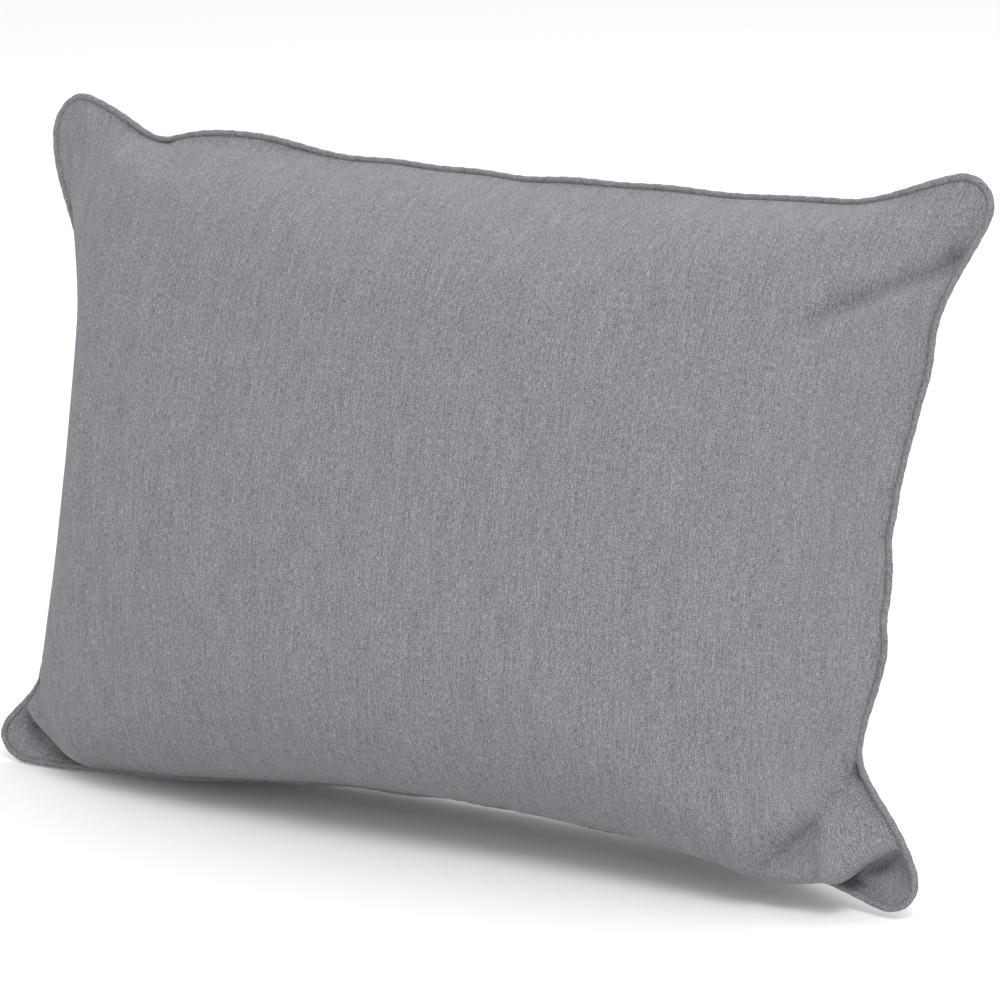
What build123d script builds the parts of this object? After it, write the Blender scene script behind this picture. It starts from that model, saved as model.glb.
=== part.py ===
from build123d import *
from math import atan2, cos, hypot, radians, sin
import os

# A plump rectangular camp pillow that stands on one long edge and leans back.
# X runs across the pillow, -Y is its front, Z is up. Z = 0 is the surface it stands on.
# The seam plane holds the welted edge: its local x is across, its local y is up the pillow,
# and its local z points out of the front. All lengths are millimetres.

# The finished pillow
EAR_TO_EAR_ACROSS = 590.0  # outside of the welt, left ear tips to right ear tips
EAR_TO_EAR_UP = 390.0  # outside of the welt, lower ear tips to upper ear tips
LEAN = 12.5  # degrees that the seam plane leans back from upright
SEAM_Y = 3.7  # where the seam plane's middle stands, so that the whole box is centred on Y

# The welted edge
WELT_RADIUS = 2.4  # self-fabric piping round its cord
CORD_RADIUS = 1.5
EAR_RADIUS = 25.0  # rounding of each ear, at the middle of the piping
SIDE_PULL = 37.0  # how far each short side draws in between its ears
EDGE_PULL = 22.0  # how far each long edge draws in between its ears

# The two domes of the body
FRONT_DEPTH = 92.0
BACK_DEPTH = 84.0
LEVELS = [0.0, 0.08, 0.25, 0.5, 0.72, 0.85, 0.95]  # of a dome's depth
SIDE_FULLNESS = 3.0  # superellipse exponent, seam to crown, across the pillow
EDGE_FULLNESS = 2.4  # the same, up the pillow
BOWED_LEVEL = 0.4  # of the depth, from where the sides bow out instead of drawing in
SIDE_BULGE = 8.0  # how far a short side bows out there
EDGE_BULGE = 1.0  # how far a long edge bows out there
SHOULDER_RADIUS = 48.0  # corner radius that the ears grow to up the dome
CROWN_ROUNDING = 0.65  # most that a corner radius is, of the half-height at its level
LEAST_CORNER_RADIUS = 8.0  # of the layers inside the cover
BACK_SAG = 41.0  # how far the filling's weight lets the back's lower edge sink
SAG_SHAPE = 1.67  # power of the level that puts the deepest sag at two thirds of the depth

# Cloth and what is inside it
COVER_THICKNESS = 1.5
CASING_INSET = 8.0  # from the cover's outer face to the inner casing
CASING_THICKNESS = 1.0
WELT_GAP = 0.1  # between the piping and the cover's edge
CORD_GAP = 0.05  # between the cord and its sleeve
FILLING_GAP = 2.0

# The zip low across the back
ZIP_LEVEL = 0.85  # of the back's depth
ZIP_LEVEL_STEP = 0.01  # either side of it, to find how the back slopes there
CHAIN_HALF_LENGTH = 130.0
SLOT_HALF_LENGTH = 134.0
SLOT_HALF_WIDTH = 6.0
TAPE_HALF_LENGTH = 138.0
TAPE_EDGE = 1.2  # from the middle of the zip to a tape's bead edge
TAPE_WIDTH = 12.0
TAPE_THICKNESS = 0.6
TAPE_TOP = -3.4  # height of the tape's outer face, from the cover's outer face
COIL_EDGE = 0.8  # from the middle of the zip to a coil
COIL_WIDTH = 2.0
COIL_HEIGHT = 1.6
STOP_LENGTH = 3.0
STOP_GAP = 0.5  # between the end of the coils and a stop
ZIP_ROUNDING = 0.5  # of the coils' outer edges and the corners of the tapes and stops

# The slider and its pull
SLIDER_LENGTH = 10.0
SLIDER_HALF_WIDTH = 4.6
SLIDER_TAIL_HALF_WIDTH = 3.9
PLATE_THICKNESS = 1.2
UNDER_GAP = 0.5  # between the tape and the lower plate
COIL_GAP = 0.4  # between the coil and the upper plate
FLANGE_INNER = 3.3
FLANGE_GAP = 0.5  # between the tape and the flange's foot
NECK_HALF_WIDTH = 0.5
NECK_LENGTH = 2.0
CROWN_HALF_WIDTH = 0.8
CROWN_HALF_LENGTH = 3.2
CROWN_HEIGHT = 3.0
CROWN_CORNER_RADIUS = 1.35
PULL_BORE_RADIUS = 0.9
PULL_PIN_RADIUS = 0.83
PULL_PIN_SEAT = 0.5  # how far each end of the pin runs into the tab
PULL_PIN_HEIGHT = 1.5  # above the upper plate
PULL_LENGTH = 24.0
PULL_HALF_WIDTH = 3.4
PULL_THICKNESS = 1.2
PULL_FORK_REACH = 8.2  # from the pin's axis to the end of the gap between the tab's two arms
PULL_FORK_HALF_WIDTH = 1.3

# Where the seam plane stands: the lower ears' piping just touches the surface
HALF_ACROSS = EAR_TO_EAR_ACROSS / 2 - WELT_RADIUS
HALF_UP = EAR_TO_EAR_UP / 2 - WELT_RADIUS
SEAM_Z = HALF_UP * cos(radians(LEAN)) + WELT_RADIUS
seam = Plane(
    origin=(0, SEAM_Y, SEAM_Z),
    x_dir=(1, 0, 0),
    z_dir=(0, -cos(radians(LEAN)), sin(radians(LEAN))),
)

# The cover's edge lies just inside the piping
COVER_HALF_ACROSS = HALF_ACROSS - WELT_RADIUS - WELT_GAP
COVER_HALF_UP = HALF_UP - WELT_RADIUS - WELT_GAP
COVER_EAR_RADIUS = EAR_RADIUS - WELT_RADIUS - WELT_GAP

# The slider's heights, from the cover's outer face
COIL_TOP = TAPE_TOP + COIL_HEIGHT
UPPER_PLATE = COIL_TOP + COIL_GAP
PLATE_TOP = UPPER_PLATE + PLATE_THICKNESS
LOWER_PLATE = TAPE_TOP - TAPE_THICKNESS - UNDER_GAP
FLANGE_FOOT = TAPE_TOP + FLANGE_GAP
PULL_AXIS = PLATE_TOP + PULL_PIN_HEIGHT
SLIDER_REST = CHAIN_HALF_LENGTH - SLIDER_LENGTH / 2


def side_circle(half, pull, ear, other_half):
    """Radius of the arc along a side that meets both its ears in a tangent; negative if it bows out."""
    return ((ear - pull) ** 2 + (other_half - ear) ** 2 - ear**2) / (2 * pull)


def draw_outline(half_x, half_y, pull_x, pull_y, ear, middle_y=0.0):
    """Eight tangent arcs, drawn in the open BuildLine: four ears, and four sides drawn in by the pulls."""
    radius_x = side_circle(half_x, pull_x, ear, half_y)
    radius_y = side_circle(half_y, pull_y, ear, half_x)
    ear_x = half_x - ear
    ear_y = half_y - ear
    # from an ear's centre to where its arc meets the short side, then the long edge
    span_x = hypot(half_x - pull_x + radius_x - ear_x, ear_y) * (1 if radius_x > 0 else -1)
    span_y = hypot(ear_x, half_y - pull_y + radius_y - ear_y) * (1 if radius_y > 0 else -1)
    to_side = Vector(half_x - pull_x + radius_x - ear_x, -ear_y) * (ear / span_x)
    to_edge = Vector(-ear_x, half_y - pull_y + radius_y - ear_y) * (ear / span_y)
    tip = (to_side + to_edge).normalized() * ear

    def corner(sign_x, sign_y, offset):
        return (sign_x * (ear_x + offset.X), middle_y + sign_y * (ear_y + offset.Y))

    right = (half_x - pull_x, middle_y)
    left = (pull_x - half_x, middle_y)
    top = (0, middle_y + half_y - pull_y)
    bottom = (0, middle_y - half_y + pull_y)
    ThreePointArc(corner(1, -1, to_side), right, corner(1, 1, to_side))
    ThreePointArc(corner(1, 1, to_side), corner(1, 1, tip), corner(1, 1, to_edge))
    ThreePointArc(corner(1, 1, to_edge), top, corner(-1, 1, to_edge))
    ThreePointArc(corner(-1, 1, to_edge), corner(-1, 1, tip), corner(-1, 1, to_side))
    ThreePointArc(corner(-1, 1, to_side), left, corner(-1, -1, to_side))
    ThreePointArc(corner(-1, -1, to_side), corner(-1, -1, tip), corner(-1, -1, to_edge))
    ThreePointArc(corner(-1, -1, to_edge), bottom, corner(1, -1, to_edge))
    ThreePointArc(corner(1, -1, to_edge), corner(1, -1, tip), corner(1, -1, to_side))


def back_sag(level):
    """How far the back's lower edge has sunk at a level of the dome."""
    return BACK_SAG * sin(radians(180 * level**SAG_SHAPE))


def mid_edge(level):
    """Half-height of a dome at its middle, at a level."""
    return (COVER_HALF_UP - EDGE_PULL) * (1 - level**EDGE_FULLNESS) ** (1 / EDGE_FULLNESS)


def draw_level(level, inset, sag):
    """The body's outline at a level of a dome, drawn in from the cover's outer face by an inset."""
    bowed = min(level / BOWED_LEVEL, 1.0)
    side_pull = SIDE_PULL - (SIDE_PULL + SIDE_BULGE) * bowed
    edge_pull = EDGE_PULL - (EDGE_PULL + EDGE_BULGE) * bowed
    mid_side = (COVER_HALF_ACROSS - SIDE_PULL) * (1 - level**SIDE_FULLNESS) ** (1 / SIDE_FULLNESS)
    ear = COVER_EAR_RADIUS + (SHOULDER_RADIUS - COVER_EAR_RADIUS) * level**0.5
    ear = min(ear, CROWN_ROUNDING * mid_edge(level))
    draw_outline(
        mid_side + side_pull - inset,
        mid_edge(level) + edge_pull - inset + sag / 2,
        side_pull,
        edge_pull,
        max(ear - inset, LEAST_CORNER_RADIUS),
        middle_y=-sag / 2,
    )


def dome(side, inset):
    """Solid front (1) or back (-1) half of the body, its faces set in from the cover's outer face.
    The back is cut flat where it rests on the surface.
    """
    depth = (FRONT_DEPTH if side > 0 else BACK_DEPTH) - inset
    with BuildPart() as half:
        for level in LEVELS:
            with BuildSketch(seam.offset(side * level * depth)):
                with BuildLine():
                    draw_level(level, inset, back_sag(level) if side < 0 else 0.0)
                make_face()
        loft()
        if side < 0:
            split(bisect_by=Plane.XY.offset(inset), keep=Keep.TOP)
    return half.part


def skin(half):
    """A half's faces without the flat one in the seam plane."""
    return half.faces().sort_by(lambda face: abs((face.center() - seam.origin).dot(seam.z_dir)))[1:]


def panel_shell(side, inset, thickness):
    """Cloth of one half of the body, open at the seam plane: outer skin, inner skin and the rim."""
    with BuildSketch(seam) as rim:
        with BuildLine():
            draw_level(0.0, inset, 0.0)
        make_face()
        with BuildLine():
            draw_level(0.0, inset + thickness, 0.0)
        make_face(mode=Mode.SUBTRACT)
    outer = skin(dome(side, inset))
    inner = skin(dome(side, inset + thickness))
    return Solid(Shell(outer + inner + rim.sketch.faces()))


def back_profile(level):
    """Height up the seam plane and depth behind it of the back's lower middle, at a level."""
    return -mid_edge(level) - back_sag(level), level * BACK_DEPTH


# The zip's plane touches the back along its lower middle: local x along the zip, local z outward
zip_up, zip_back = back_profile(ZIP_LEVEL)
above_up, above_back = back_profile(ZIP_LEVEL + ZIP_LEVEL_STEP)
below_up, below_back = back_profile(ZIP_LEVEL - ZIP_LEVEL_STEP)
slope = atan2(above_back - below_back, above_up - below_up)
zip_across_y = sin(radians(LEAN)) * cos(slope) + cos(radians(LEAN)) * sin(slope)
zip_across_z = cos(radians(LEAN)) * cos(slope) - sin(radians(LEAN)) * sin(slope)
zip_plane = Plane(
    origin=seam.from_local_coords((0, zip_up, -zip_back)),
    x_dir=(-1, 0, 0),
    z_dir=(0, zip_across_z, -zip_across_y),
)

os.makedirs("parts", exist_ok=True)


def write(part, name):
    part.label = name
    export_step(part, f"parts/{name}.step")


# Cover: front panel
with BuildPart() as cover_front_panel:
    add(panel_shell(1, 0.0, COVER_THICKNESS))
write(cover_front_panel.part, "cover_front_panel")

# Cover: back, in two panels that meet at the zip
back_cover = panel_shell(-1, 0.0, COVER_THICKNESS)
zip_cut = Plane(origin=zip_plane.origin, x_dir=(1, 0, 0), z_dir=zip_plane.y_dir)
for name, keep in (("upper", Keep.TOP), ("lower", Keep.BOTTOM)):
    with BuildPart() as cover_back_panel:
        add(back_cover)
        split(bisect_by=zip_cut, keep=keep)
        with BuildSketch(zip_plane.offset(-SLOT_HALF_WIDTH)):
            RectangleRounded(2 * SLOT_HALF_LENGTH, 2 * SLOT_HALF_WIDTH, SLOT_HALF_WIDTH / 2)
        extrude(amount=2 * SLOT_HALF_WIDTH, mode=Mode.SUBTRACT)
    write(cover_back_panel.part, f"cover_back_{name}_panel")

# Welt: a fabric sleeve sewn round a cord, all the way round the edge
def welt(outer, inner):
    with BuildPart() as ring:
        with BuildLine(seam) as path:
            draw_outline(HALF_ACROSS, HALF_UP, SIDE_PULL, EDGE_PULL, EAR_RADIUS)
        with BuildSketch(Plane(origin=path.line @ 0, z_dir=path.line % 0)):
            Circle(outer)
            if inner:
                Circle(inner, mode=Mode.SUBTRACT)
        sweep()
    return ring.part


write(welt(WELT_RADIUS, CORD_RADIUS + CORD_GAP), "piping_sleeve")
write(welt(CORD_RADIUS, 0.0), "piping_cord")

# Inner casing, and the filling as one solid of the space inside it
for name, side in (("front", 1), ("back", -1)):
    with BuildPart() as casing_panel:
        add(panel_shell(side, CASING_INSET, CASING_THICKNESS))
    write(casing_panel.part, f"casing_{name}_panel")

filling_inset = CASING_INSET + CASING_THICKNESS + FILLING_GAP
with BuildPart() as filling:
    add(Solid(Shell(skin(dome(1, filling_inset)) + skin(dome(-1, filling_inset)))))
write(filling.part, "filling")

# Zip: tapes, coils and stops
for name, side in (("upper", 1), ("lower", -1)):
    with BuildPart() as zip_tape:
        with BuildSketch(zip_plane.offset(TAPE_TOP - TAPE_THICKNESS)):
            with Locations((0, side * (TAPE_EDGE + TAPE_WIDTH / 2))):
                RectangleRounded(2 * TAPE_HALF_LENGTH, TAPE_WIDTH, ZIP_ROUNDING)
        extrude(amount=TAPE_THICKNESS)
    write(zip_tape.part, f"zip_tape_{name}")

    with BuildPart() as zip_coil:
        with BuildSketch(zip_plane.offset(TAPE_TOP)):
            with Locations((0, side * (COIL_EDGE + COIL_WIDTH / 2))):
                Rectangle(2 * CHAIN_HALF_LENGTH, COIL_WIDTH)
        extrude(amount=COIL_HEIGHT)
        fillet(zip_coil.edges().filter_by(Axis.X).group_by(SortBy.DISTANCE)[-1], ZIP_ROUNDING)
    write(zip_coil.part, f"zip_coil_{name}")

stop_middle = CHAIN_HALF_LENGTH + STOP_GAP + STOP_LENGTH / 2
with BuildPart() as zip_top_stops:
    with BuildSketch(zip_plane.offset(TAPE_TOP)):
        for side in (1, -1):
            with Locations((-stop_middle, side * (TAPE_EDGE + COIL_WIDTH / 2))):
                RectangleRounded(STOP_LENGTH, COIL_WIDTH, ZIP_ROUNDING)
    extrude(amount=COIL_HEIGHT)
write(zip_top_stops.part, "zip_top_stops")

with BuildPart() as zip_bottom_stop:
    with BuildSketch(zip_plane.offset(TAPE_TOP)):
        with Locations((stop_middle, 0)):
            RectangleRounded(STOP_LENGTH, 2 * (TAPE_EDGE + COIL_WIDTH), ZIP_ROUNDING)
    extrude(amount=COIL_HEIGHT)
write(zip_bottom_stop.part, "zip_bottom_stop")

# Slider: two plates joined by a neck that runs between the coils, with flanges over the tapes.
# The tapes enter side by side at its tail (local +x) and part round the neck at its head.
slider_middle = -SLIDER_REST
head = slider_middle - SLIDER_LENGTH / 2


def draw_plate():
    """A slider plate seen from above, drawn in the open BuildLine: wide at the head, narrow at the tail."""
    Polyline(
        (head, -SLIDER_HALF_WIDTH),
        (slider_middle, -SLIDER_HALF_WIDTH),
        (head + SLIDER_LENGTH, -SLIDER_TAIL_HALF_WIDTH),
        (head + SLIDER_LENGTH, SLIDER_TAIL_HALF_WIDTH),
        (slider_middle, SLIDER_HALF_WIDTH),
        (head, SLIDER_HALF_WIDTH),
        close=True,
    )


with BuildPart() as zip_slider_body:
    with BuildSketch(zip_plane.offset(UPPER_PLATE)):
        with BuildLine():
            draw_plate()
        make_face()
    extrude(amount=PLATE_THICKNESS)
    with BuildSketch(zip_plane.offset(FLANGE_FOOT)):
        with BuildLine():
            draw_plate()
        make_face()
        with Locations((slider_middle, 0)):
            Rectangle(SLIDER_LENGTH, 2 * FLANGE_INNER, mode=Mode.SUBTRACT)
    extrude(amount=UPPER_PLATE - FLANGE_FOOT)
    with BuildSketch(zip_plane.offset(LOWER_PLATE - PLATE_THICKNESS)):
        with BuildLine():
            draw_plate()
        make_face()
    extrude(amount=PLATE_THICKNESS)
    with BuildSketch(zip_plane.offset(LOWER_PLATE)):
        with Locations((head + NECK_LENGTH / 2, 0)):
            RectangleRounded(NECK_LENGTH, 2 * NECK_HALF_WIDTH, NECK_HALF_WIDTH / 2)
    extrude(amount=UPPER_PLATE - LOWER_PLATE)
write(zip_slider_body.part, "zip_slider_body")

# Crown: the arch on the upper plate that the pull's pin passes through
crown_plane = Plane(
    origin=zip_plane.from_local_coords((slider_middle, 0, PLATE_TOP)),
    x_dir=zip_plane.x_dir,
    z_dir=-zip_plane.y_dir,
)
with BuildPart() as zip_slider_crown:
    with BuildSketch(crown_plane) as arch:
        with Locations((0, CROWN_HEIGHT / 2)):
            Rectangle(2 * CROWN_HALF_LENGTH, CROWN_HEIGHT)
        fillet(arch.vertices().sort_by(Axis.Y)[-2:], CROWN_CORNER_RADIUS)
        with Locations((0, PULL_PIN_HEIGHT)):
            Circle(PULL_BORE_RADIUS, mode=Mode.SUBTRACT)
    extrude(amount=CROWN_HALF_WIDTH, both=True)
write(zip_slider_crown.part, "zip_slider_crown")

# Pull: a flat tab with a forked end, whose pin lies in the crown
with BuildPart() as zip_pull_tab:
    with BuildSketch(zip_plane.offset(PULL_AXIS - PULL_THICKNESS / 2)):
        with Locations((slider_middle + PULL_LENGTH / 2 - PULL_THICKNESS, 0)):
            RectangleRounded(PULL_LENGTH, 2 * PULL_HALF_WIDTH, PULL_HALF_WIDTH / 2)
        with Locations((slider_middle, 0)):
            Rectangle(2 * PULL_FORK_REACH, 2 * PULL_FORK_HALF_WIDTH, mode=Mode.SUBTRACT)
    extrude(amount=PULL_THICKNESS)
    with BuildSketch(crown_plane):
        with Locations((0, PULL_PIN_HEIGHT)):
            Circle(PULL_PIN_RADIUS)
    extrude(amount=PULL_FORK_HALF_WIDTH + PULL_PIN_SEAT, both=True)
write(zip_pull_tab.part, "zip_pull_tab")
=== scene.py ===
from contextlib import contextmanager
from math import cos, pi, radians, sin

import bmesh
import bpy
import numpy as np
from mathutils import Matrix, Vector


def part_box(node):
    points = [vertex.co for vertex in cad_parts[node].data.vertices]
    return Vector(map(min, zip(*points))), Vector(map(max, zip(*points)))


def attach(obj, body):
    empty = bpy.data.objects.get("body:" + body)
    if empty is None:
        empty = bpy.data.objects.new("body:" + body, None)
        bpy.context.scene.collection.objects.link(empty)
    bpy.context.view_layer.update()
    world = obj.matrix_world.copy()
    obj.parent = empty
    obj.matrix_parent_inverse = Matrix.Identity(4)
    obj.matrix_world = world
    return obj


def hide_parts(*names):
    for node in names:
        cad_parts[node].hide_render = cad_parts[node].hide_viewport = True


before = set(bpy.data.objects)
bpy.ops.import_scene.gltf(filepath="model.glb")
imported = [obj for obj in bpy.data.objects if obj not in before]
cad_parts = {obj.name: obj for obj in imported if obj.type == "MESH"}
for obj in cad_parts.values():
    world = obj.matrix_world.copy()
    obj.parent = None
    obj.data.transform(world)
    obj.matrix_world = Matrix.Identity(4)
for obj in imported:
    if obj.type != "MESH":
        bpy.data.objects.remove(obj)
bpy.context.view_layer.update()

# A piped lounge pillow with a zip in its back. The CAD gives the sizes, the seam's plane and the zip. This
# script inflates the cover by cloth simulation, sews it to the welt, shapes its ears and folds, and adds what
# lies inside. The sizes that several sections use come first, and the others head their own section. All are
# in metres.

# The seam plane, from the piping's box: across is +X, up leans back, and out of the front is -Y
LEAN = radians(12.5)
WELT_RADIUS = 0.0024
SLEEVE_RADIUS = 0.0019  # the cloth draws tight round the cord
CORD_RADIUS = 0.0013
ACROSS = np.array((1.0, 0.0, 0.0))
UP = np.array((0.0, sin(LEAN), cos(LEAN)))
FRONT = np.array((0.0, -cos(LEAN), sin(LEAN)))
welt_low, welt_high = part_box("piping_sleeve")
CENTRE = np.array((welt_low + welt_high) / 2)
HALF_ACROSS = (welt_high.x - welt_low.x) / 2 - WELT_RADIUS
HALF_UP = ((welt_high.z - welt_low.z) / 2 - WELT_RADIUS) / cos(LEAN)

# The sewn edge: a rounded rectangle whose sides draw in, quickly next to the ears and then slowly
EAR_RADIUS = 0.025
EAR_TIP = 0.008  # from a corner to where its sides start to draw in
EAR_REACH = 0.085  # from a corner to where its ear has run out
UPPER_LEFT_REACH = 0.130  # the same along the short sides, where it differs
UPPER_RIGHT_REACH = 0.105
LOWER_LEFT_REACH = 0.049
SIDE_EAR_PULL = 0.020
SIDE_MIDDLE_PULL = 0.019
TOP_EAR_PULL = 0.018
TOP_MIDDLE_PULL = 0.006
BOTTOM_LEFT_EAR_PULL = 0.0225  # the lower edge rises slowly from the left
BOTTOM_LEFT_MIDDLE_PULL = 0.0
BOTTOM_LEFT_REACH = 0.330
BOTTOM_RIGHT_EAR_PULL = 0.0065  # and soon from the right
BOTTOM_RIGHT_MIDDLE_PULL = 0.0151
BOTTOM_RIGHT_REACH = 0.060
TOP_FROM = 0.1  # points of the edge above this height belong to the top
PANEL_TUCK = 0.0009  # the panels' edge lies this far inside the piping's middle

# Where the edge departs from that: how far, the place along it, and the width of that place
RIGHT_NOTCH = (0.013, 0.080 - HALF_UP, 0.028)  # drawn in further, above the lower right ear
RIGHT_FULLNESS = (0.006, 0.088, 0.028)  # drawn in less, below the upper right ear
LEFT_FULLNESS = (0.004, 0.150, 0.026)  # drawn in less, at the upper left ear
TOP_HUMP = (0.007, -0.160, 0.050)  # a fuller place along the top
TOP_DIP = (0.005, -0.216, 0.020)  # between it and the upper left ear

# How the edge wanders: the height of each wave, how often it goes round, and its phase
INWARD_WAVES = ((0.0007, 13, 0.7), (0.0005, 29, 2.1))
OUTWARD_WAVES = ((0.0012, 9, 1.9), (0.0008, 23, 0.4), (0.0004, 47, 1.0))

# The body
FRONT_DEPTH = 0.092
BACK_DEPTH = 0.084
BACK_SAG = 0.026  # how far the filling sinks behind the lower edge, down to the surface
BACK_SAG_SHAPE = 1.67  # an exponent, which says how far out it is greatest
BACK_SAG_HEIGHTS = (0.02, -0.17)  # where along up it starts, and where it is full
BACK_SAG_ENDS = 0.1  # how far from the sides it is full
FRONT_SAG = 0.006  # how far it hangs over the lower edge in front, at the middle
FRONT_LEFT_SAG = 0.009  # the same, towards the lower left ear
FRONT_RIGHT_SAG = 0.019  # the same, towards the lower right ear
FRONT_SAG_SHAPE = 0.8
FRONT_SAG_HEIGHTS = (0.0, -0.16)
FRONT_SAG_ENDS = 0.04
FRONT_SAG_SPREAD = 0.22  # from the middle to where the sag is the ears' own
SIDE_SLOPE = 0.56  # how steeply the sides rise from the edge: inward for each unit outward
SIDE_BLEND = 0.006  # how softly the slope takes over
TOP_SLOPE = 0.14  # the same two, for the top
TOP_BLEND = 0.003
TOP_SLOPE_FULL = 0.1  # how far up the top's slope is full
SLOPE_FULL = 0.010  # how far out from the seam the slopes are full
FRONT_SIDE_ROUND = 0.002  # how far the front's sides may first bow out
BACK_SIDE_ROUND = -0.002  # the back's sides draw in by as much
FOOT_HEIGHT = 0.0005
CASING_INSET = 0.0095
FILLING_INSET = 0.0125
INNER_HALF_ACROSS = 0.243  # the furthest reach of the casing and the filling, clear of the flat ears
INNER_HALF_UP = 0.163
INNER_SQUARENESS = 5
INNER_HALF_GAP = 0.0003  # half the least distance between their two halves

# The flat cloth that each panel is cut from, and how it is stuffed
FLAT_HALF_ACROSS = 0.300
FLAT_HALF_UP = 0.200
FLAT_EAR = 0.030
CLOTH_STEP = 0.008
SEED = 3
START_LIFT = 0.003
START_RIM = 0.3  # the lift next to the edge, as a share
START_NOISE = 0.0002
INFLATION_FRAMES = 15
INFLATION_PRESSURE = 9.0
GRAIN_ROUNDS = 60  # how long each field is evened out: the grain's, the pull of the sewn edge, and the height
EDGE_ROUNDS = 500
HEIGHT_ROUNDS = 4
COVER_LEVELS = 2

# The zip's plane: along the zip is +X, and its middle comes from the tapes' boxes
ZIP_TURN = radians(24.3416)  # how far the plane leans, as in the CAD
ZIP_ACROSS = np.array((0.0, sin(ZIP_TURN), cos(ZIP_TURN)))
ZIP_OUT = np.array((0.0, cos(ZIP_TURN), -sin(ZIP_TURN)))
TAPE_TOP = -0.0034  # the tapes' outer faces lie this far inside the cover's cloth
TAPE_HALF_THICKNESS = 0.0003
tape_low, tape_high = (np.array(c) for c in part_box("zip_tape_upper"))
lower_low, lower_high = (np.array(c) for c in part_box("zip_tape_lower"))
TAPE_MIDDLE = (np.minimum(tape_low, lower_low) + np.maximum(tape_high, lower_high)) / 2
ZIP_ORIGIN = TAPE_MIDDLE - ZIP_OUT * (TAPE_TOP - TAPE_HALF_THICKNESS)
SLOT_HALF_LENGTH = 0.134
SLOT_HALF_WIDTH = 0.006
BACK_FACE = -0.03  # what lies further in than this isn't the back's face


# ---------------------------------------------------------------- small tools

SAME_POINT = 1e-6
TINY = 1e-9  # what a divisor is never less than


def smooth(low, high, x):
    """0 at low and 1 at high, with a smooth step between."""
    t = np.clip((x - low) / (high - low), 0.0, 1.0)
    return t * t * (3.0 - 2.0 * t)


def hump(x, width):
    """1 at x = 0, falling away to either side."""
    return np.exp(-((x / width) ** 2))


def local(x, amount, place, width):
    """An amount that is whole at one place and falls away to either side of it."""
    return amount * hump(x - place, width)


def waves_round(turn, waves):
    """The sum of waves that run round the edge."""
    return sum(height * np.sin(count * turn + phase) for height, count, phase in waves)


@contextmanager
def editing(mesh):
    """A mesh's bmesh, written back at the end."""
    work = bmesh.new()
    work.from_mesh(mesh)
    yield work
    work.to_mesh(mesh)
    work.free()


def to_row(points):
    """Seam plane coordinates (across, up, out of the front) to the row frame."""
    p = np.asarray(points, float)
    return CENTRE + p[..., 0:1] * ACROSS + p[..., 1:2] * UP + p[..., 2:3] * FRONT


def zip_coordinates(points):
    """Row frame to the zip's plane: along, across and outward."""
    d = np.asarray(points, float) - ZIP_ORIGIN
    return np.stack([d @ ACROSS, d @ ZIP_ACROSS, d @ ZIP_OUT], -1)


def from_zip(points):
    """The zip's plane to the row frame."""
    p = np.asarray(points, float)
    return ZIP_ORIGIN + p[..., 0:1] * ACROSS + p[..., 1:2] * ZIP_ACROSS + p[..., 2:3] * ZIP_OUT


def make_object(name, verts, faces, uvs=None):
    """A smooth-shaded mesh object; uvs holds one pair for each vertex."""
    mesh = bpy.data.meshes.new(name)
    mesh.from_pydata(np.asarray(verts).tolist(), [], np.asarray(faces).tolist())
    if uvs is not None:
        layer = mesh.uv_layers.new(name="cloth")
        index = np.zeros(len(mesh.loops), np.int32)
        mesh.loops.foreach_get("vertex_index", index)
        layer.data.foreach_set("uv", np.asarray(uvs, np.float32)[index].ravel())
    mesh.polygons.foreach_set("use_smooth", [True] * len(mesh.polygons))
    mesh.update()
    obj = bpy.data.objects.new(name, mesh)
    bpy.context.scene.collection.objects.link(obj)
    return obj


def vertices_of(obj):
    co = np.zeros(len(obj.data.vertices) * 3, np.float32)
    obj.data.vertices.foreach_get("co", co)
    return co.reshape(-1, 3).astype(float)


def set_vertices(obj, points):
    obj.data.vertices.foreach_set("co", np.asarray(points, np.float32).ravel())
    obj.data.update()


def apply_modifiers(obj):
    """Replaces an object's mesh by what its modifiers make of it."""
    evaluated = obj.evaluated_get(bpy.context.evaluated_depsgraph_get())
    mesh = bpy.data.meshes.new_from_object(evaluated)
    obj.modifiers.clear()
    obj.data = mesh


def grid_faces(nu, nv):
    """The faces of a grid with nu by nv cells."""
    i, j = np.meshgrid(np.arange(nu), np.arange(nv), indexing="ij")
    a = (i * (nv + 1) + j).ravel()
    return np.stack([a, a + nv + 1, a + nv + 2, a + 1], -1)


def on_edge(shape):
    """Which points of a grid are on its edge."""
    edge = np.ones(shape, bool)
    edge[1:-1, 1:-1] = False
    return edge


# ---------------------------------------------------------------- the seam


def pull(along, half, ear_pull, middle_pull, reach):
    """How far a side has drawn in, at a distance along it from its middle."""
    from_corner = half - np.abs(along)
    return ear_pull * smooth(EAR_TIP, reach, from_corner) + middle_pull * (1 - (along / half) ** 2)


def side_pull(x, y):
    """The same for the short sides, where each ear runs out in its own way."""
    upper = np.where(x < 0, UPPER_LEFT_REACH, UPPER_RIGHT_REACH)
    lower = np.where(x < 0, LOWER_LEFT_REACH, EAR_REACH)
    notch = local(y, *RIGHT_NOTCH) * (x > 0)
    fullness = np.where(x > 0, local(y, *RIGHT_FULLNESS), local(y, *LEFT_FULLNESS))
    return pull(y, HALF_UP, SIDE_EAR_PULL, SIDE_MIDDLE_PULL, np.where(y > 0, upper, lower)) + notch - fullness


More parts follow.
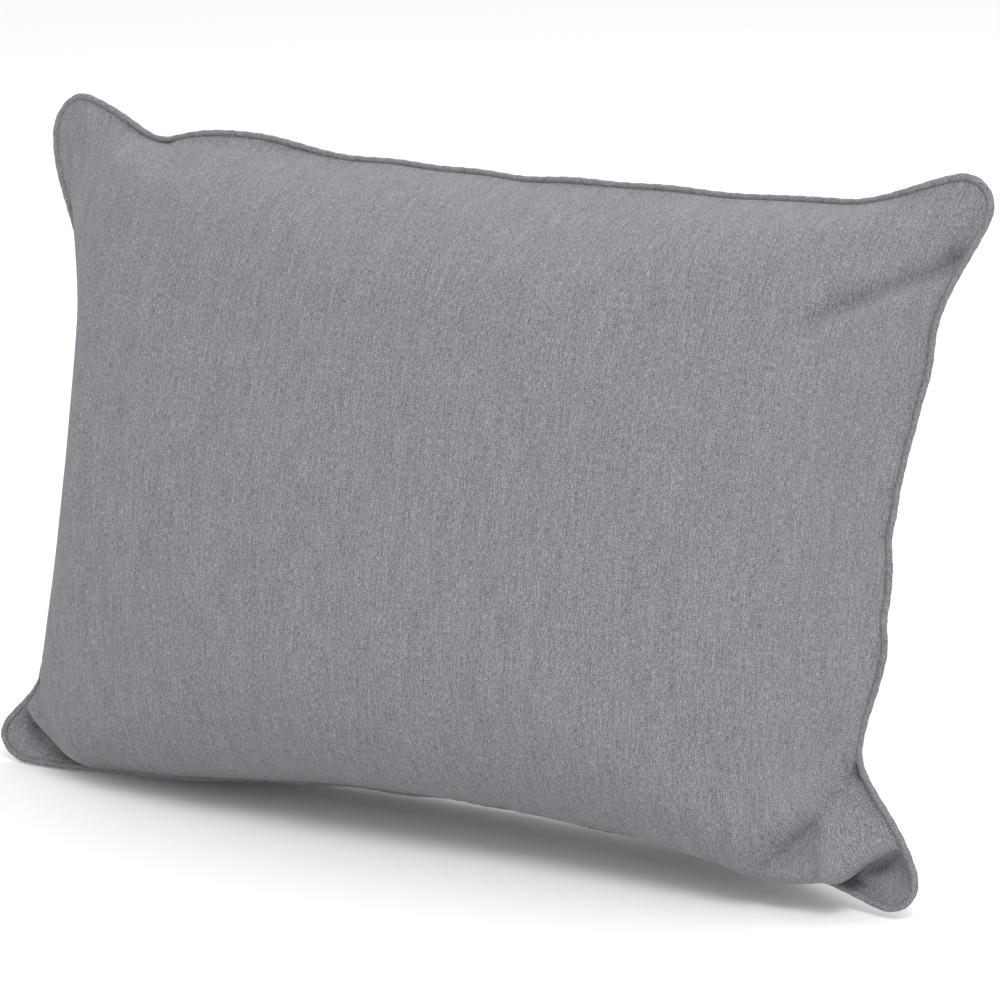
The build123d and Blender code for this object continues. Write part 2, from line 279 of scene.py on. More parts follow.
def edge_pull(x, y):
    """The same for the long edges, where the lower one has a left and a right half of its own."""
    top = pull(x, HALF_ACROSS, TOP_EAR_PULL, TOP_MIDDLE_PULL, EAR_REACH)
    left = pull(x, HALF_ACROSS, BOTTOM_LEFT_EAR_PULL, BOTTOM_LEFT_MIDDLE_PULL, BOTTOM_LEFT_REACH)
    right = pull(x, HALF_ACROSS, BOTTOM_RIGHT_EAR_PULL, BOTTOM_RIGHT_MIDDLE_PULL, BOTTOM_RIGHT_REACH)
    return np.where(y > 0, top, np.where(x < 0, left, right))


def drawn_in(x, y):
    """Carries a point of the rounded rectangle to the sewn edge."""
    side = side_pull(x, y) * np.abs(x) / HALF_ACROSS
    edge = edge_pull(x, y) * np.abs(y) / HALF_UP
    return x - np.sign(x) * side, y - np.sign(y) * edge


def seam_wave(x, y):
    """How far the sewn edge wanders towards the middle, and out of its plane."""
    turn = np.arctan2(y / HALF_UP, x / HALF_ACROSS)
    return waves_round(turn, INWARD_WAVES), waves_round(turn, OUTWARD_WAVES)


def sewn_edge(x, y):
    """Seam plane coordinates of the sewn edge, from points of the rounded rectangle."""
    x, y = drawn_in(x, y)
    y = y + (local(x, *TOP_HUMP) - local(x, *TOP_DIP)) * (y > TOP_FROM)
    inward, outward = seam_wave(x, y)
    scale = 1 - inward / np.hypot(x, y)
    return np.stack([x * scale, y * scale, outward], -1)


def seam_of_flat(u, v, tuck):
    """Where points on the flat cloth's edge lie on the sewn edge, tucked in from the piping's middle."""
    half_x, half_y, ear = HALF_ACROSS - tuck, HALF_UP - tuck, EAR_RADIUS - tuck
    x, y = np.abs(u) - (FLAT_HALF_ACROSS - FLAT_EAR), np.abs(v) - (FLAT_HALF_UP - FLAT_EAR)
    turn = np.arctan2(np.maximum(y, 0), np.maximum(x, 0))
    corner = (x > 0) & (y > 0)
    side = ~corner & (x > 0)
    px = np.where(side, half_x, (half_x - ear) * np.abs(u) / (FLAT_HALF_ACROSS - FLAT_EAR))
    py = np.where(side, (half_y - ear) * np.abs(v) / (FLAT_HALF_UP - FLAT_EAR), half_y)
    px = np.where(corner, half_x - ear + ear * np.cos(turn), px)
    py = np.where(corner, half_y - ear + ear * np.sin(turn), py)
    return sewn_edge(px * np.sign(u), py * np.sign(v))


# ---------------------------------------------------------------- the stuffed cover, by cloth simulation


def flat_grid():
    """Points of the flat cloth: a grid whose corners are squeezed into round ears."""
    halves = (FLAT_HALF_ACROSS, FLAT_HALF_UP)
    across, up = (np.linspace(-half, half, round(2 * half / CLOTH_STEP) + 1) for half in halves)
    u, v = np.meshgrid(across, up, indexing="ij")
    x = np.abs(u) - (FLAT_HALF_ACROSS - FLAT_EAR)
    y = np.abs(v) - (FLAT_HALF_UP - FLAT_EAR)
    corner = (x > 0) & (y > 0)
    squeeze = np.maximum(x, y) / np.maximum(np.hypot(x, y), TINY)
    u = np.where(corner, np.sign(u) * (FLAT_HALF_ACROSS - FLAT_EAR + x * squeeze), u)
    v = np.where(corner, np.sign(v) * (FLAT_HALF_UP - FLAT_EAR + y * squeeze), v)
    return u, v


def stuffed(u, v):
    """Sews two flat panels together, inflates them, and returns both as grids of points."""
    rng = np.random.default_rng(SEED)
    crown = (1 - (u / FLAT_HALF_ACROSS) ** 2) * (1 - (v / FLAT_HALF_UP) ** 2)
    lift = START_LIFT * (START_RIM + crown) + rng.normal(0, START_NOISE, u.shape)
    edge = on_edge(u.shape)
    front_points = np.stack([u, v, np.where(edge, 0, lift)], -1).reshape(-1, 3)
    inner = np.flatnonzero(~edge.ravel())
    back_index = np.arange(u.size)
    back_index[inner] = u.size + np.arange(len(inner))
    faces = grid_faces(u.shape[0] - 1, u.shape[1] - 1)
    pouch = make_object(
        "pouch",
        np.vstack([front_points, front_points[inner] * (1, 1, -1)]),
        np.vstack([faces, back_index[faces][:, ::-1]]),
    )
    modifier = pouch.modifiers.new("cloth", "CLOTH")
    cloth = modifier.settings
    cloth.quality = 6
    cloth.mass = 0.3
    cloth.tension_stiffness = cloth.compression_stiffness = 40
    cloth.shear_stiffness = 24
    cloth.bending_stiffness = 1.0
    cloth.tension_damping = cloth.compression_damping = cloth.shear_damping = 20
    cloth.air_damping = 6
    cloth.use_pressure = True
    cloth.uniform_pressure_force = INFLATION_PRESSURE
    cloth.effector_weights.gravity = 0
    modifier.collision_settings.use_collision = False
    modifier.point_cache.frame_end = INFLATION_FRAMES
    for frame_number in range(1, INFLATION_FRAMES + 1):
        bpy.context.scene.frame_set(frame_number)
    apply_modifiers(pouch)
    points = vertices_of(pouch)
    bpy.data.objects.remove(pouch)
    bpy.context.scene.frame_set(1)
    shape = u.shape + (3,)
    return points[: u.size].reshape(shape), points[back_index].reshape(shape)


def coons(edge_shift):
    """Spreads the shifts along a grid's four edges over its inside."""
    s = np.linspace(0, 1, edge_shift.shape[0])[:, None, None]
    t = np.linspace(0, 1, edge_shift.shape[1])[None, :, None]
    e = edge_shift
    ruled = (1 - s) * e[:1] + s * e[-1:] + (1 - t) * e[:, :1] + t * e[:, -1:]
    left = (1 - t) * e[:1, :1] + t * e[:1, -1:]
    right = (1 - t) * e[-1:, :1] + t * e[-1:, -1:]
    return ruled - (1 - s) * left - s * right


def relaxed(field, rounds):
    """Evens a grid's values out, with its edges held."""
    out = field.copy()
    for _ in range(rounds):
        around = out[2:, 1:-1] + out[:-2, 1:-1] + out[1:-1, 2:] + out[1:-1, :-2]
        out[1:-1, 1:-1] = (out[1:-1, 1:-1] + around / 4) / 2
    return out


def fit_to_seam(grid, depth):
    """Moves a panel's edge on to the sewn edge, carries its inside along, and sets its depth."""
    edge = on_edge(flat_u.shape)
    target = seam_of_flat(flat_u, flat_v, PANEL_TUCK)
    # the grain runs straight: only the height keeps the small wrinkles
    flat = np.stack([flat_u, flat_v, np.zeros_like(flat_u)], -1)
    out = flat + relaxed(grid - flat, GRAIN_ROUNDS)
    out += relaxed(coons(np.where(edge[..., None], target - out, 0)), EDGE_ROUNDS)
    height = relaxed(grid[..., 2], HEIGHT_ROUNDS)
    out[..., 2] = height * depth / np.abs(height).max()
    out[edge] = target[edge]
    return out


def fine_panel(name, grid, flip, levels):
    """A panel as an object, subdivided; its UVs are the places on the flat cloth, in metres."""
    faces = grid_faces(grid.shape[0] - 1, grid.shape[1] - 1)
    uvs = np.stack([flat_u, flat_v], -1).reshape(-1, 2)
    obj = make_object(name, grid.reshape(-1, 3), faces[:, ::-1] if flip else faces, uvs)
    if levels:
        sub = obj.modifiers.new("fine", "SUBSURF")
        sub.levels = sub.render_levels = levels
        apply_modifiers(obj)
    return obj


def soft_greater(a, b, blend):
    """The greater of two values, with a smooth change from one to the other."""
    return (a + b + np.sqrt((a - b) ** 2 + blend**2)) / 2


def slope_sides(p, side_round):
    """Keeps the short sides and the top from standing out past the edge: they slope in as they rise."""
    half = HALF_ACROSS - side_pull(p[:, 0], p[:, 1])
    inside = half - np.abs(p[:, 0])
    least = SIDE_SLOPE * np.abs(p[:, 2]) - side_round
    risen = smooth(0, SLOPE_FULL, np.abs(p[:, 2]))
    p[:, 0] -= np.sign(p[:, 0]) * (soft_greater(inside, least, SIDE_BLEND) - inside) * risen
    inside = HALF_UP - edge_pull(p[:, 0], p[:, 1]) - p[:, 1]
    least = TOP_SLOPE * np.abs(p[:, 2])
    high = smooth(0, TOP_SLOPE_FULL, p[:, 1])
    p[:, 1] -= (soft_greater(inside, least, TOP_BLEND) - inside) * risen * high


EARS = (
    # which corner; flattest within this distance of it; full height beyond this one; the share of its height
    # that the flattest place keeps
    ((-1, -1), 0.046, 0.080, 0.40),
    ((1, -1), 0.035, 0.095, 0.85),
    ((1, 1), 0.040, 0.085, 0.65),
    ((-1, 1), 0.040, 0.080, 0.60),
)

# A fold's start and end (across, up), its depth and width, and the height of its lip
FOLDS = (
    # upper right ear, one soft diagonal
    ((0.284, 0.154), (0.218, 0.110), 0.0120, 0.0060, 0.0045),
    # lower right ear: the edge of the body, a standing ridge, and the deep fold along the bottom
    ((0.216, -0.156), (0.262, -0.106), 0.0160, 0.0080, 0.0050),
    ((0.262, -0.166), (0.249, -0.122), 0.0050, 0.0055, 0.0060),
    ((0.208, -0.184), (0.282, -0.163), 0.0220, 0.0090, 0.0060),
    # lower left ear: the edge of the body, down to the lower seam
    ((-0.278, -0.164), (-0.226, -0.190), 0.0170, 0.0065, 0.0050),
    # a short crease low down in the middle, and puckers under the top seam
    ((0.050, -0.132), (0.060, -0.172), 0.0035, 0.0045, 0.0015),
    ((-0.250, 0.184), (-0.196, 0.163), 0.0050, 0.0050, 0.0015),
    ((-0.180, 0.166), (-0.150, 0.158), 0.0020, 0.0050, 0.0010),
)
FOLD_FADE_IN = (-0.35, 0.25)  # in lengths of the fold, from its start
FOLD_FADE_OUT = (1.45, 0.75)
STEEP_SIDE = 0.6  # in widths of the fold, as are the next three
GENTLE_SIDE = 1.4
LIP_PLACE = 1.6
LIP_WIDTH = 1.2
FOLD_ROUNDING = 1e-6  # the square of a length, which keeps the bottom of the crease from being sharp
FOLD_FULL = 0.004  # how far out from the seam the folds are full


def flatten_ear(p, corner, near, far, keep):
    """Presses an ear flat, so that the body rises steeply from its root."""
    away = np.hypot(p[:, 0] - corner[0] * HALF_ACROSS, p[:, 1] - corner[1] * HALF_UP)
    p[:, 2] *= keep + (1 - keep) * smooth(near, far, away)


def fold(p, start, end, depth, width, lip):
    """A crease in the cloth from start to end, with a steep side and a raised lip on its left."""
    start, end = np.array(start), np.array(end)
    length = np.linalg.norm(end - start)
    run = (end - start) / length
    offset = p[:, :2] - start
    along = offset @ run / length
    off = offset[:, 1] * run[0] - offset[:, 0] * run[1]
    fade = smooth(*FOLD_FADE_IN, along) * smooth(*FOLD_FADE_OUT, along)
    side = width * np.where(off > 0, STEEP_SIDE, GENTLE_SIDE)
    crease = np.exp(-np.sqrt(off**2 + FOLD_ROUNDING) / side)
    height = (lip * hump(off - LIP_PLACE * width, LIP_WIDTH * width) - depth * crease) * fade
    p[:, 2] += np.sign(p[:, 2]) * height * smooth(0, FOLD_FULL, np.abs(p[:, 2]))


def near_bottom(p, heights, ends):
    """1 along the lower edge, fading towards the given height and the sides."""
    return smooth(*heights, p[:, 1]) * smooth(HALF_ACROSS, HALF_ACROSS - ends, np.abs(p[:, 0]))


def settle_front(p):
    """The front's ears are creased and its filling hangs over the lower edge; seam plane to row frame."""
    p = p.copy()
    slope_sides(p, FRONT_SIDE_ROUND)
    for ear in EARS:
        flatten_ear(p, *ear)
    for place in FOLDS:
        fold(p, *place)
    level = np.clip(p[:, 2] / FRONT_DEPTH, 0, 1)
    corner_sag = np.where(p[:, 0] < 0, FRONT_LEFT_SAG, FRONT_RIGHT_SAG)
    sag = FRONT_SAG + (corner_sag - FRONT_SAG) * np.minimum(np.abs(p[:, 0]) / FRONT_SAG_SPREAD, 1) ** 2
    p[:, 1] -= sag * np.sin(pi * level**FRONT_SAG_SHAPE) * near_bottom(p, FRONT_SAG_HEIGHTS, FRONT_SAG_ENDS)
    return to_row(p)


def settle_back(p):
    """The back's filling sinks behind the lower edge, down to the surface; seam plane to row frame."""
    p = p.copy()
    slope_sides(p, BACK_SIDE_ROUND)
    level = np.clip(-p[:, 2] / BACK_DEPTH, 0, 1)
    p[:, 1] -= BACK_SAG * np.sin(pi * level**BACK_SAG_SHAPE) * near_bottom(p, BACK_SAG_HEIGHTS, BACK_SAG_ENDS)
    row = to_row(p)
    row[:, 2] = np.maximum(row[:, 2], FOOT_HEIGHT)
    return row


# Distances from the zip's middle: where the cloth starts to turn to the zip's plane, and where it lies on it
ZIP_FLAT_ALONG = (0.195, 0.146)
ZIP_FLAT_ACROSS = (0.07, 0.013)
# The seam between the two panels, either side of the zip: where it starts past the slot's end, and is full
PANEL_SEAM_FROM = 0.008
PANEL_SEAM_FULL = 0.020
PANEL_SEAM_DEPTH = 0.0016
PANEL_SEAM_WIDTH = 0.0022


def lie_on_zip(row):
    """Brings the back's cloth on to the zip's plane round the zip."""
    z = zip_coordinates(row)
    near = smooth(*ZIP_FLAT_ALONG, np.abs(z[:, 0])) * smooth(*ZIP_FLAT_ACROSS, np.abs(z[:, 1]))
    z[:, 2] *= 1 - near * (z[:, 2] > BACK_FACE)
    beside = smooth(SLOT_HALF_LENGTH + PANEL_SEAM_FROM, SLOT_HALF_LENGTH + PANEL_SEAM_FULL, np.abs(z[:, 0]))
    z[:, 2] -= PANEL_SEAM_DEPTH * hump(z[:, 1], PANEL_SEAM_WIDTH) * beside
    return from_zip(z)


def inset(front, back, distance):
    """Both halves as grids set in from the cover, meeting in a thin rim; row frame."""
    out = []
    for grid, flip in ((front, False), (back, True)):
        obj = fine_panel("inset", grid, flip, 0)
        normals = np.array([v.normal for v in obj.data.vertices]).reshape(grid.shape)
        bpy.data.objects.remove(obj)
        out.append(grid - normals * distance)
    front_side = (out[0] - CENTRE) @ FRONT
    back_side = (out[1] - CENTRE) @ FRONT
    rim = on_edge(flat_u.shape)
    middle = np.where(rim, 0, INNER_HALF_GAP)
    out[0] += np.maximum(middle - front_side, 0)[..., None] * FRONT
    out[1] += np.minimum(-middle - back_side, 0)[..., None] * FRONT
    shared = (out[0] + out[1]) / 2
    for grid in out:
        grid[rim] = shared[rim]
        from_middle = grid - CENTRE
        x, y = from_middle @ ACROSS, from_middle @ UP
        across = (np.abs(x) / INNER_HALF_ACROSS) ** INNER_SQUARENESS
        up = (np.abs(y) / INNER_HALF_UP) ** INNER_SQUARENESS
        reach = (across + up) ** (1 / INNER_SQUARENESS)
        shrink = np.minimum(1 / np.maximum(reach, TINY), 1) - 1
        grid += (x * shrink)[..., None] * ACROSS + (y * shrink)[..., None] * UP
    return out


flat_u, flat_v = flat_grid()
simulated_front, simulated_back = stuffed(flat_u, flat_v)
front_grid = fit_to_seam(simulated_front, FRONT_DEPTH)
back_grid = fit_to_seam(simulated_back, BACK_DEPTH)

cover_front = fine_panel("cover_front", front_grid, False, COVER_LEVELS)
cover_back = fine_panel("cover_back", back_grid, True, COVER_LEVELS)
set_vertices(cover_front, settle_front(vertices_of(cover_front)))
set_vertices(cover_back, lie_on_zip(settle_back(vertices_of(cover_back))))


# ---------------------------------------------------------------- the back's two panels and the zip's slot

LIP_ROWS = ((0.0004, -0.0005), (0.0003, -0.0012), (-0.0003, -0.0016))  # each row's step inward and outward
LIP_NEAR = 0.0015  # a point this near to the slot's end or side belongs to it
SLOT_NEAR = 1e-4


def in_slot(z, margin):
    """Which points, in the zip's coordinates, lie in the slot."""
    along = np.abs(z[:, 0]) < SLOT_HALF_LENGTH + margin
    return along & (np.abs(z[:, 1]) < SLOT_HALF_WIDTH + margin) & (z[:, 2] > BACK_FACE)


def face_middles(mesh):
    return zip_coordinates([face.calc_center_median()[:] for face in mesh.faces])


def delete_faces(mesh, drop):
    faces = mesh.faces[:]
    bmesh.ops.delete(mesh, geom=[faces[i] for i in np.flatnonzero(drop)], context="FACES")


def fold_in(mesh, lips):
    """Folds the edges of the slot in, row by row, and continues the cloth's UVs on them."""
    uv = mesh.loops.layers.uv["cloth"]
    turned = {}  # how far each new corner lies past the slot's edge, on the flat cloth
    depth = 0.0
    for inward, outward in LIP_ROWS:
        depth += float(np.hypot(inward, outward))
        made = bmesh.ops.extrude_edge_only(mesh, edges=lips)["geom"]
        lips = [g for g in made if isinstance(g, bmesh.types.BMEdge)]
        ring = [g for g in made if isinstance(g, bmesh.types.BMVert)]
        for vert in ring:
            z = zip_coordinates(vert.co[:])
            ends = abs(abs(z[0]) - SLOT_HALF_LENGTH) < LIP_NEAR
            sides = abs(abs(z[1]) - SLOT_HALF_WIDTH) < LIP_NEAR
            z[0] -= np.sign(z[0]) * inward * ends
            z[1] -= np.sign(z[1]) * inward * sides
            z[2] += outward
            vert.co = from_zip(z)
            turned[vert] = Vector((-np.sign(z[0]) * ends, -np.sign(z[1]) * sides)) * depth
    for vert, shift in turned.items():
        for loop in vert.link_loops:
            loop[uv].uv += shift


def cut_back(obj):
    """Cuts the slot for the zip with its edges folded in, and parts the back along the zip's line."""
    with editing(obj.data) as mesh:
        cuts = [(offset, ZIP_ACROSS) for offset in (-SLOT_HALF_WIDTH, 0.0, SLOT_HALF_WIDTH)]
        cuts += [(offset, ACROSS) for offset in (-SLOT_HALF_LENGTH, SLOT_HALF_LENGTH)]
        for offset, normal in cuts:
            point = ZIP_ORIGIN + normal * offset
            geometry = mesh.verts[:] + mesh.edges[:] + mesh.faces[:]
            bmesh.ops.bisect_plane(mesh, geom=geometry, plane_co=point, plane_no=normal, dist=SAME_POINT)
        delete_faces(mesh, in_slot(face_middles(mesh), 0))
        border = [edge for edge in mesh.edges if edge.is_boundary]
        ends = [zip_coordinates([vert.co[:] for vert in edge.verts]) for edge in border]
        fold_in(mesh, [edge for edge, z in zip(border, ends) if in_slot(z, SLOT_NEAR).all()])


def keep_part(name, obj, keep):
    """A copy of an object with only the faces whose middles pass the test."""
    part = bpy.data.objects.new(name, obj.data.copy())
    bpy.context.scene.collection.objects.link(part)
    with editing(part.data) as mesh:
        delete_faces(mesh, ~keep(face_middles(mesh)))
    return part


cut_back(cover_back)
cover_back_upper = keep_part("cover_back_upper", cover_back, lambda z: z[:, 1] > 0)
cover_back_lower = keep_part("cover_back_lower", cover_back, lambda z: z[:, 1] <= 0)
bpy.data.objects.remove(cover_back)

# ---------------------------------------------------------------- the casing and the filling

front_row = settle_front(front_grid.reshape(-1, 3)).reshape(front_grid.shape)
back_row = lie_on_zip(settle_back(back_grid.reshape(-1, 3))).reshape(back_grid.shape)
casing = inset(front_row, back_row, CASING_INSET)
casing_front = fine_panel("casing_front", casing[0], False, 0)
casing_back = fine_panel("casing_back", casing[1], True, 0)
filling_grids = inset(front_row, back_row, FILLING_INSET)
filling_faces = grid_faces(flat_u.shape[0] - 1, flat_u.shape[1] - 1)
filling = make_object(
    "filling_fibre",
    np.vstack([g.reshape(-1, 3) for g in filling_grids]),
    np.vstack([filling_faces, filling_faces[:, ::-1] + flat_u.size]),
    np.tile(np.stack([flat_u, flat_v], -1).reshape(-1, 2), (2, 1)),
)

# ---------------------------------------------------------------- the piping

EAR_POINTS = 60
SIDE_POINTS = 150
EDGE_POINTS = 200
WELT_CLEARANCE = 0.0002  # between the welt and the surface
# The sleeve puckers where the seam gathers it, and the cord is twisted: how high each ripple is, how long
# along the welt, and how many of them go round it
SLEEVE_RIPPLES = ((0.00011, 0.0093, 2), (0.00007, 0.0037, 1))
CORD_RIPPLES = ((0.00012, 0.009, 3),)


def piping_path(count):
    """Evenly spaced points along the middle of the piping, in the row frame, and their distances along it."""
    turn = np.linspace(0, pi / 2, EAR_POINTS)
    ear_x, ear_y = HALF_ACROSS - EAR_RADIUS, HALF_UP - EAR_RADIUS
    side = np.full(SIDE_POINTS, HALF_ACROSS), np.linspace(0, ear_y, SIDE_POINTS)
    ear = ear_x + EAR_RADIUS * np.cos(turn), ear_y + EAR_RADIUS * np.sin(turn)
    edge = np.linspace(ear_x, 0, EDGE_POINTS), np.full(EDGE_POINTS, HALF_UP)
    x, y = np.hstack([side, ear, edge])
    x = np.concatenate([x, -x[::-1], -x, x[::-1]])
    y = np.concatenate([y, y[::-1], -y, -y[::-1]])
    line = to_row(sewn_edge(x, y))
    step = np.linalg.norm(np.roll(line, -1, 0) - line, axis=1)
    line, step = line[step > SAME_POINT], step[step > SAME_POINT]
    along = np.concatenate([[0], np.cumsum(step)])
    closed = np.vstack([line, line[:1]])
    even = np.linspace(0, along[-1], count, endpoint=False)
    path = np.stack([np.interp(even, along, closed[:, k]) for k in range(3)], -1)
    path[:, 2] = np.maximum(path[:, 2], WELT_RADIUS + WELT_CLEARANCE)
    return path, even


def tube(name, path, along, radius, ripples, around):
    """A closed tube round a closed path, with a rippled surface."""
    tangent = np.roll(path, -1, 0) - np.roll(path, 1, 0)
    tangent /= np.linalg.norm(tangent, axis=1)[:, None]
    side = np.cross(tangent, FRONT)
    side /= np.linalg.norm(side, axis=1)[:, None]
    lift = np.cross(side, tangent)
    verts, uvs = [], []
    for k in range(around):
        a = 2 * pi * k / around
        waves = [height * np.sin(along * 2 * pi / length + turns * a) for height, length, turns in ripples]
        verts.append(path + (radius + sum(waves))[:, None] * (cos(a) * side + sin(a) * lift))
        uvs.append(np.stack([along, np.full(len(path), a * WELT_RADIUS)], -1))
    i, k = np.meshgrid(np.arange(len(path)), np.arange(around), indexing="ij")
    i2, k2 = (i + 1) % len(path), (k + 1) % around
    faces = np.stack([i * around + k, i2 * around + k, i2 * around + k2, i * around + k2], -1).reshape(-1, 4)
    return make_object(name, np.stack(verts, 1).reshape(-1, 3), faces, np.stack(uvs, 1).reshape(-1, 2))


piping_sleeve = tube("piping_sleeve_cloth", *piping_path(1600), SLEEVE_RADIUS, SLEEVE_RIPPLES, around=16)
piping_cord = tube("piping_cord_cotton", *piping_path(800), CORD_RADIUS, CORD_RIPPLES, around=12)

# ---------------------------------------------------------------- the zip

STITCH_LENGTH = 0.0028
STITCH_STEP = 0.0036
STITCH_RADIUS = 0.00024
STITCH_POINTS = 6
STITCH_LIFT = 0.00005  # how far the thread's middle lies above the cloth, and how much higher in mid-stitch
STITCH_RISE = 0.0003
STITCH_DIP = 0.0005  # how far its ends are pulled down
STITCH_ROW = 0.0086  # from the zip's middle to a row of stitches
STITCH_END = 0.1405
TACK_STITCHES = 16
TACK_HALF_WIDTH = 0.0042
TACK_NEAR = 0.0008  # from the slot's end to a bar tack, and to its far side
TACK_FAR = 0.0032
TACK_SLANT = 0.0003
COIL_PITCH = 0.0015
COIL_HALF_LENGTH = 0.130
COIL_END_GAP = 0.0003
COIL_WIRE = 0.0003
COIL_MIDDLE = 0.00168  # from the zip's middle to the coil's, and the loops' reach to either side of it
COIL_REACH = 0.00082
COIL_LIFT = 0.0008  # from the tape's face to the coil's middle, and the loops' reach in and out
COIL_RISE = 0.00049
COIL_TURN_POINTS = 12
TUBE_SIDES = 6
EDGE_BEVEL = 0.00018
BEVEL_SEGMENTS = 2
SHARP_EDGE = radians(35)
FLAT_EDGE = radians(1)
SLIVER = 1e-5
MELT = 2e-5  # corners nearer than this after bevelling become one


def short_tubes(name, lines, radius):
    """One mesh of thin tubes with closed ends, one round each line of points in the zip's coordinates."""
    turn = 2 * pi * np.arange(TUBE_SIDES) / TUBE_SIDES
    verts, faces, count = [], [], 0
    for line in lines:
        line = from_zip(line)
        tangent = np.gradient(line, axis=0)
        tangent /= np.linalg.norm(tangent, axis=1)[:, None]
        side = np.cross(tangent, ZIP_OUT)
        side /= np.maximum(np.linalg.norm(side, axis=1), TINY)[:, None]
        lift = np.cross(side, tangent)
        ring = np.cos(turn)[None, :, None] * side[:, None] + np.sin(turn)[None, :, None] * lift[:, None]
        verts.append((line[:, None] + radius * ring).reshape(-1, 3))
        i, k = np.meshgrid(np.arange(len(line) - 1) * TUBE_SIDES, np.arange(TUBE_SIDES), indexing="ij")
        k2 = (k + 1) % TUBE_SIDES
        quads = [i + k, i + k2, i + TUBE_SIDES + k2, i + TUBE_SIDES + k]
        faces.append(np.stack(quads, -1).reshape(-1, 4) + count)
        last_ring = (len(line) - 1) * TUBE_SIDES
        for k in range(1, TUBE_SIDES - 2, 2):
            near_cap = np.array((0, k + 2, k + 1, k))
            far_cap = last_ring + np.array((0, k, k + 1, k + 2))
            faces.append(np.stack([near_cap, far_cap]) + count)
        count += len(line) * TUBE_SIDES
    return make_object(name, np.vstack(verts), np.vstack(faces))


def stitch(start, end):
    """One stitch between two points of the cloth, its ends pulled down into it."""
    t = np.linspace(0, 1, STITCH_POINTS)[:, None]
    line = np.array(start) * (1 - t) + np.array(end) * t
    line[:, 2] = STITCH_LIFT + STITCH_RISE * np.sin(pi * t[:, 0])
    line[[0, -1], 2] -= STITCH_DIP
    return line


def row_of_stitches(start, end):
    start, end = np.array(start), np.array(end)
    length = np.linalg.norm(end - start)
    run = (end - start) / length
    places = np.arange(0, length - STITCH_LENGTH, STITCH_STEP)
    return [stitch(start + run * p, start + run * (p + STITCH_LENGTH)) for p in places]


def topstitching():
    """A box of stitches round the zip, and a bar tack across each end of the slot."""
    lines = []
    for side in (-1, 1):
        lines += row_of_stitches((-STITCH_END, side * STITCH_ROW, 0), (STITCH_END, side * STITCH_ROW, 0))
        lines += row_of_stitches((side * STITCH_END, -STITCH_ROW, 0), (side * STITCH_END, STITCH_ROW, 0))
        near, far = side * (SLOT_HALF_LENGTH + TACK_NEAR), side * (SLOT_HALF_LENGTH + TACK_FAR)
        for k in range(TACK_STITCHES):
            across = -TACK_HALF_WIDTH + 2 * TACK_HALF_WIDTH * k / (TACK_STITCHES - 1)
            lines.append(stitch((near, across, 0), (far, across + TACK_SLANT, 0)))
    return short_tubes("zip_topstitching", lines, STITCH_RADIUS)


def coil(name, side):
    """One continuous monofilament coil, sewn along its tape."""
    turns = round(2 * COIL_HALF_LENGTH / COIL_PITCH)
    t = np.linspace(0, turns, turns * COIL_TURN_POINTS)
    angle = 2 * pi * t + (pi if side > 0 else 0)
    along = -COIL_HALF_LENGTH + COIL_END_GAP + t / turns * (2 * COIL_HALF_LENGTH - 2 * COIL_END_GAP)
    across = side * (COIL_MIDDLE + COIL_REACH * np.cos(angle))
    out = TAPE_TOP + COIL_LIFT + COIL_RISE * np.sin(angle)
    return short_tubes(name, [np.stack([along, across, out], -1)], COIL_WIRE)


def bevelled(name, node, clamp=True):
    """A copy of a CAD part with its edges rounded as in casting; clamp keeps the bevels from crossing."""
    source = bpy.data.objects[node]
    mesh = source.data.copy()
    mesh.transform(source.matrix_world)
    obj = bpy.data.objects.new(name, mesh)
    bpy.context.scene.collection.objects.link(obj)
    with editing(mesh) as work:
        bmesh.ops.remove_doubles(work, verts=work.verts[:], dist=SAME_POINT)
        bmesh.ops.dissolve_limit(work, angle_limit=FLAT_EDGE, verts=work.verts[:], edges=work.edges[:])
    bevel = obj.modifiers.new("edges", "BEVEL")
    bevel.width = EDGE_BEVEL
    bevel.use_clamp_overlap = clamp
    bevel.segments = BEVEL_SEGMENTS
    bevel.limit_method = "ANGLE"
    bevel.angle_limit = SHARP_EDGE
    apply_modifiers(obj)
    with editing(obj.data) as work:
        bmesh.ops.remove_doubles(work, verts=work.verts[:], dist=MELT)
        bmesh.ops.dissolve_degenerate(work, edges=work.edges[:], dist=SLIVER)
    obj.data.polygons.foreach_set("use_smooth", [False] * len(obj.data.polygons))
    return obj


zip_thread = topstitching()
coil_upper = coil("zip_coil_upper_spiral", 1)
coil_lower = coil("zip_coil_lower_spiral", -1)
# clamped, the slider's bevels would shrink to nothing
slider_body = bevelled("slider_casting", "zip_slider_body", clamp=False)
slider_crown = bevelled("slider_bridge", "zip_slider_crown")
pull_tab = bevelled("pull_casting", "zip_pull_tab")
top_stops = bevelled("top_stop_clips", "zip_top_stops")
bottom_stop = bevelled("bottom_stop_clip", "zip_bottom_stop")

# ---------------------------------------------------------------- materials

COOL_TINT = (0.975, 1.0, 1.06)
WAVE_PERIOD = 2 * pi / 20  # of a wave texture with a scale of 1
MELANGE_SHADES = ((0.36, 67), (0.46, 109), (0.54, 130), (0.64, 164))  # value of the mixed noises, grey there


